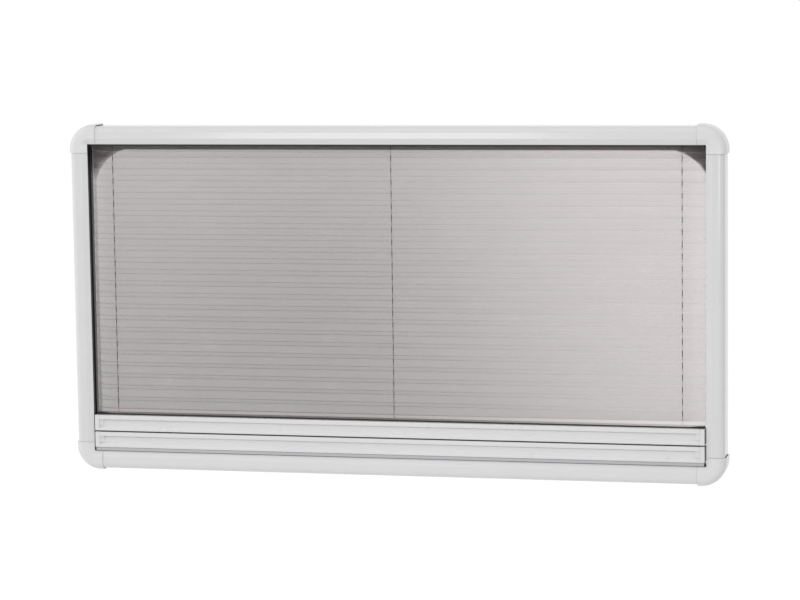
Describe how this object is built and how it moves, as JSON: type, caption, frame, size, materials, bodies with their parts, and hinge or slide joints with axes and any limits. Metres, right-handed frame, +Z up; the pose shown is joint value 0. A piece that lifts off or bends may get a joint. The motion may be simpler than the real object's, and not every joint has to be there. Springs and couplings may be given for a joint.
{
  "type": "window blind",
  "caption": "Framed double window blind: a pleated insect screen above and a pleated blackout blind below, each on its own pull bar, sliding on taut guide cords.",
  "frame": {"origin": "on the rear face of the bottom rail, at the middle of that rail's length and height", "axes": "+X along the width, +Y into the wall, +Z up; the front faces -Y"},
  "size_m": [1.0632, 0.0462, 0.5632],
  "materials": {
    "frame_white": "satin white coated aluminium",
    "cap_white": "moulded white, satin gloss",
    "bar_white": "satin white coated aluminium",
    "bar_end_white": "moulded white, satin gloss",
    "track_black": "black, matt",
    "dark_plastic": "black, matt",
    "seal_brown": "dark seal",
    "bracket_zinc": "zinc plated",
    "plain_steel": "plain",
    "net_grey": "fine grey mesh, pleated, see-through",
    "cord_black": "braided, dark",
    "blackout_grey": "closed pale grey fabric, pleated",
    "strip_grey": "pale grey"
  },
  "bodies": {
    "frame": {"bottom_rail": "frame_white", "left_rail": "frame_white", "top_rail": "frame_white", "right_rail": "frame_white", "left_track": "track_black", "right_track": "track_black", "bottom_left_cap": "cap_white", "bottom_left_bracket": "bracket_zinc", "bottom_left_screw_1": "plain_steel", "bottom_left_screw_2": "plain_steel", "top_left_cap": "cap_white", "top_left_bracket": "bracket_zinc", "top_left_screw_1": "plain_steel", "top_left_screw_2": "plain_steel", "top_right_cap": "cap_white", "top_right_bracket": "bracket_zinc", "top_right_screw_1": "plain_steel", "top_right_screw_2": "plain_steel", "bottom_right_cap": "cap_white", "bottom_right_bracket": "bracket_zinc", "bottom_right_screw_1": "plain_steel", "bottom_right_screw_2": "plain_steel", "top_dark_strip": "dark_plastic", "left_dark_corner": "dark_plastic", "right_dark_corner": "dark_plastic", "screen_head": "dark_plastic", "screen_net": "net_grey", "blackout_foot": "strip_grey", "blackout_pleats": "blackout_grey", "guide_cord_left": "cord_black", "cord_spring_left": "plain_steel", "upper_ferrule_left": "plain_steel", "lower_ferrule_left": "plain_steel", "guide_cord_middle": "cord_black", "cord_spring_middle": "plain_steel", "upper_ferrule_middle": "plain_steel", "lower_ferrule_middle": "plain_steel", "guide_cord_right": "cord_black", "cord_spring_right": "plain_steel", "upper_ferrule_right": "plain_steel", "lower_ferrule_right": "plain_steel"},
    "screen_bar": {"screen_bar": "bar_white", "screen_bar_end_left": "bar_end_white", "screen_bar_end_right": "bar_end_white", "screen_foot": "dark_plastic"},
    "blackout_bar": {"blackout_bar": "bar_white", "blackout_bar_end_left": "bar_end_white", "blackout_bar_end_right": "bar_end_white", "bar_seal": "seal_brown", "blackout_head": "strip_grey"}
  },
  "joints": [
    {"name": "blackout_lift", "type": "slide", "parent": "frame", "child": "blackout_bar", "axis": [0, 0, 1], "range_m": [0, 0.418], "deforming": ["blackout_pleats"]},
    {"name": "screen_lift", "type": "slide", "parent": "frame", "child": "screen_bar", "axis": [0, 0, 1], "range_m": [0, 0.418], "deforming": ["screen_net"]}
  ],
  "couplings": [
    {"joint": "screen_lift", "follows": "blackout_lift", "ratio": 1}
  ]
}
